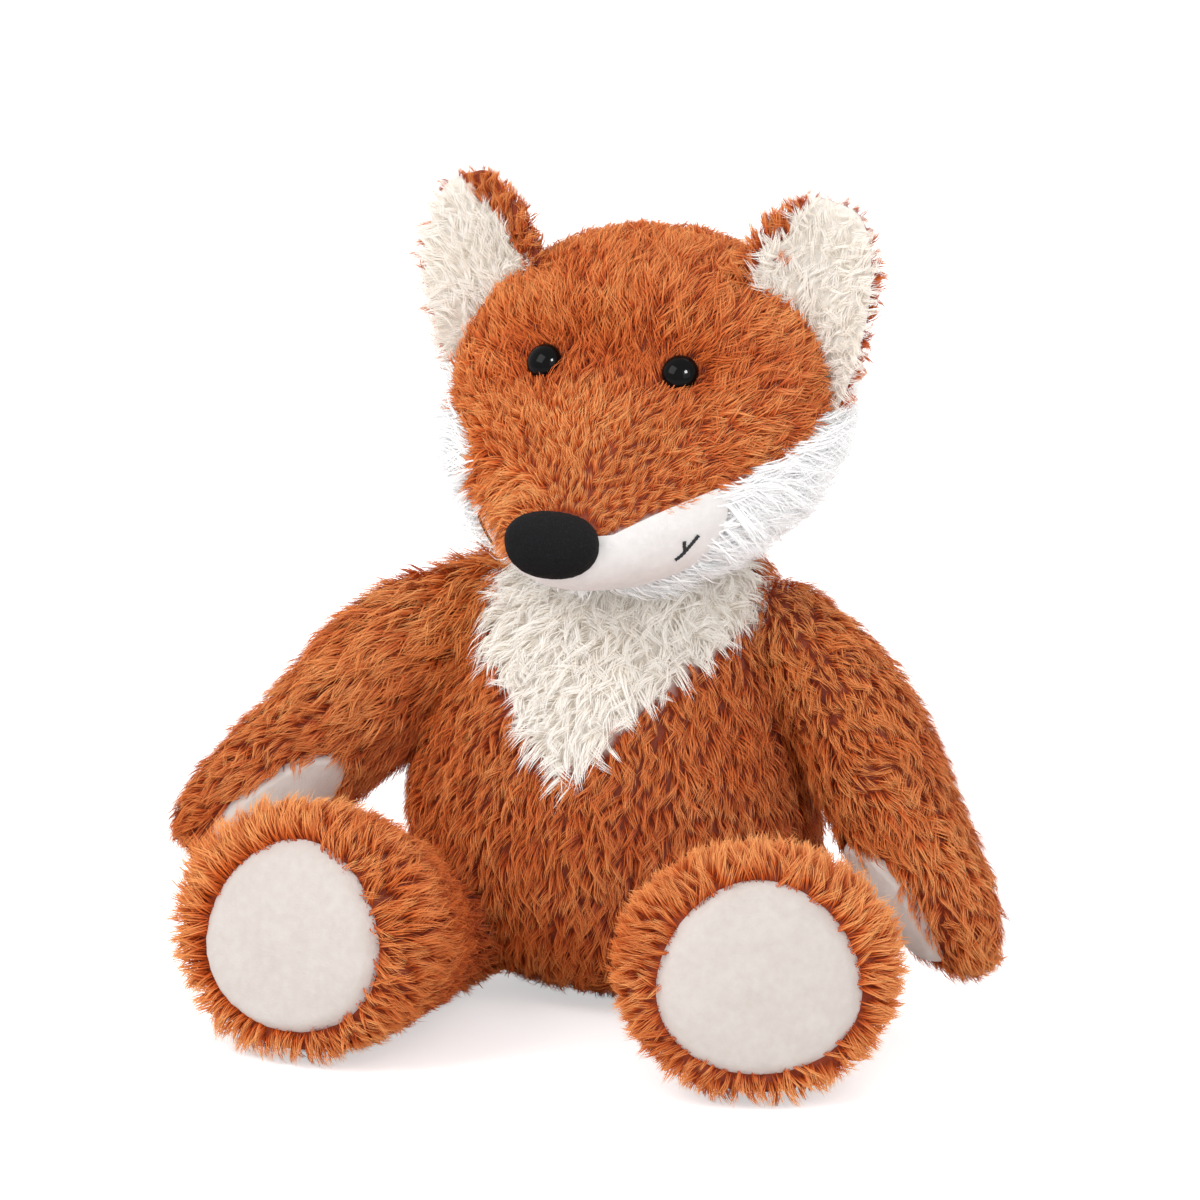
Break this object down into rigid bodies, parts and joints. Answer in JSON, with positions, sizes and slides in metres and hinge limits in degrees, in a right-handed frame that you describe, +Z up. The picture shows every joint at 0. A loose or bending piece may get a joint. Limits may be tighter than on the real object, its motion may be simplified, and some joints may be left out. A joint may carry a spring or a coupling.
{
  "type": "plush fox",
  "caption": "Seated plush fox, 22 cm tall, orange long-pile plush with cream bib, ear linings and pads; hinged limbs, head and tail",
  "frame": {"origin": "centre of the seat, on the flat face that the toy sits on", "axes": "+Z up; the fox looks along -Y; +X is the fox's left"},
  "size_m": [0.2346, 0.2551, 0.2192],
  "materials": {
    "orange_plush": "long-pile plush",
    "white_plush": "long-pile plush",
    "cream_plush": "long-pile plush",
    "white_velboa": "short-pile velboa",
    "cream_velboa": "short-pile velboa",
    "black_pile": "short dense pile",
    "black_thread": "embroidery thread",
    "eye_plastic": "gloss",
    "washer_plastic": "moulded",
    "stuffing": "polyester fibre",
    "pouch_cloth": "woven cotton over grain"
  },
  "bodies": {
    "torso": {"torso_front_panel": "orange_plush", "torso_back_panel": "orange_plush", "chest_bib": "cream_plush", "torso_stuffing": "stuffing", "weighting_pouch": "pouch_cloth"},
    "head": {"head_face_panel": "orange_plush", "head_back_panel": "orange_plush", "cheek_left": "white_plush", "cheek_right": "white_plush", "muzzle_panel": "white_velboa", "nose": "black_pile", "mouth_thread_left": "black_thread", "mouth_thread_right": "black_thread", "eye_left": "eye_plastic", "eye_right": "eye_plastic", "eye_washer_left": "washer_plastic", "eye_washer_right": "washer_plastic", "ear_left_back": "orange_plush", "ear_left_lining": "cream_plush", "ear_right_back": "orange_plush", "ear_right_lining": "cream_plush", "head_stuffing": "stuffing"},
    "arm_left": {"arm_left_skin": "orange_plush", "palm_left_pad": "cream_velboa", "arm_left_stuffing": "stuffing"},
    "arm_right": {"arm_right_skin": "orange_plush", "palm_right_pad": "cream_velboa", "arm_right_stuffing": "stuffing"},
    "leg_left": {"leg_left_skin": "orange_plush", "sole_left_pad": "cream_velboa", "leg_left_stuffing": "stuffing"},
    "leg_right": {"leg_right_skin": "orange_plush", "sole_right_pad": "cream_velboa", "leg_right_stuffing": "stuffing"},
    "tail": {"tail_skin": "orange_plush", "tail_tip": "white_plush", "tail_stuffing": "stuffing"}
  },
  "joints": [
    {"name": "neck_turn", "type": "hinge", "parent": "torso", "child": "head", "pos_m": [0, 0.018, 0.118], "axis": [0, 0, 1], "range_deg": [-30, 30]},
    {"name": "shoulder_left_raise", "type": "hinge", "parent": "torso", "child": "arm_left", "pos_m": [0.041, 0.012, 0.098], "axis": [-0.4067, -0.9135, 0], "range_deg": [0, 45]},
    {"name": "shoulder_right_raise", "type": "hinge", "parent": "torso", "child": "arm_right", "pos_m": [-0.041, 0.012, 0.098], "axis": [-0.5592, 0.829, 0], "range_deg": [-10, 30]},
    {"name": "hip_left_swing", "type": "hinge", "parent": "torso", "child": "leg_left", "pos_m": [0.04, -0.024, 0.0215], "axis": [-0.9205, -0.3907, 0], "range_deg": [-85, 10]},
    {"name": "hip_right_swing", "type": "hinge", "parent": "torso", "child": "leg_right", "pos_m": [-0.04, -0.024, 0.0215], "axis": [-0.9781, 0.2079, 0], "range_deg": [-85, 10]},
    {"name": "tail_swing", "type": "hinge", "parent": "torso", "child": "tail", "pos_m": [0, 0.04, 0.0145], "axis": [0, 0, 1], "range_deg": [-50, 10]}
  ]
}
